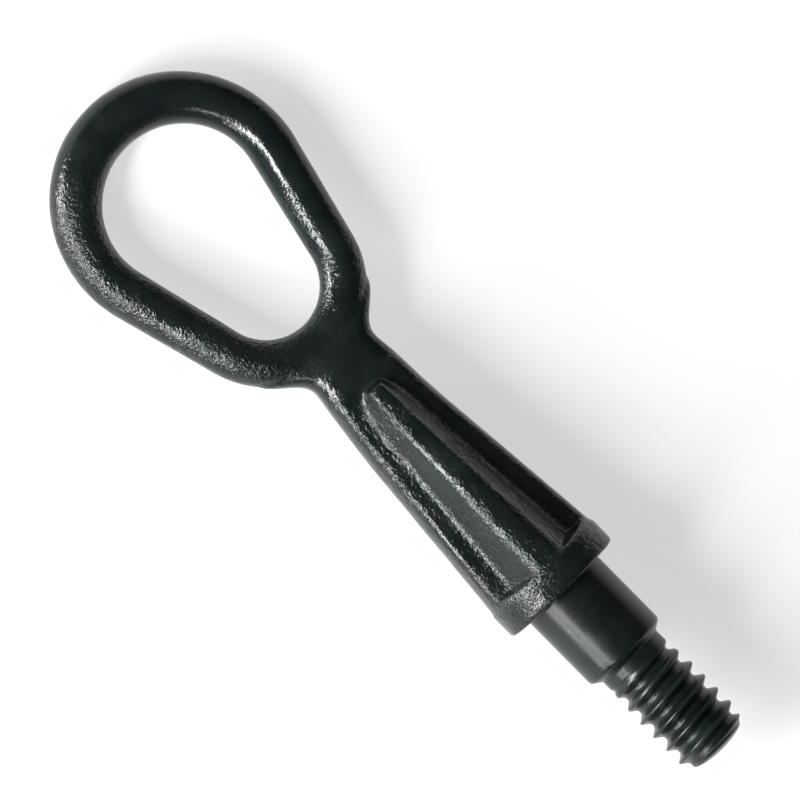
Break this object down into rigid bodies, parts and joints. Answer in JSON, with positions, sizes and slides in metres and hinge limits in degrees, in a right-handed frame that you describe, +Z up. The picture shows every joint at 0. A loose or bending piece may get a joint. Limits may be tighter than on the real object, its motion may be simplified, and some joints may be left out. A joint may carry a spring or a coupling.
{
  "type": "tow eye",
  "caption": "Forged screw-in towing eye: a teardrop loop on a hollow-sided stem, with a round collar, a plain shank and a coarse round thread.",
  "frame": {"origin": "middle of the footprint that the eye covers as it lies on a level surface, at the height of that surface", "axes": "+X along the eye towards its threaded end, level with the surface; +Z up; +Y across the loop, to the left of someone who looks along +X. The axis of the shank rises 3.85 degrees towards the threaded end, because the collar is thicker than the loop"},
  "size_m": [0.225, 0.0657, 0.0352],
  "materials": {
    "coated_steel": "forged steel with a thin satin black coat over the forged skin and over the turned shank and thread"
  },
  "bodies": {
    "root": {"tow_eye": "coated_steel"}
  },
  "joints": []
}
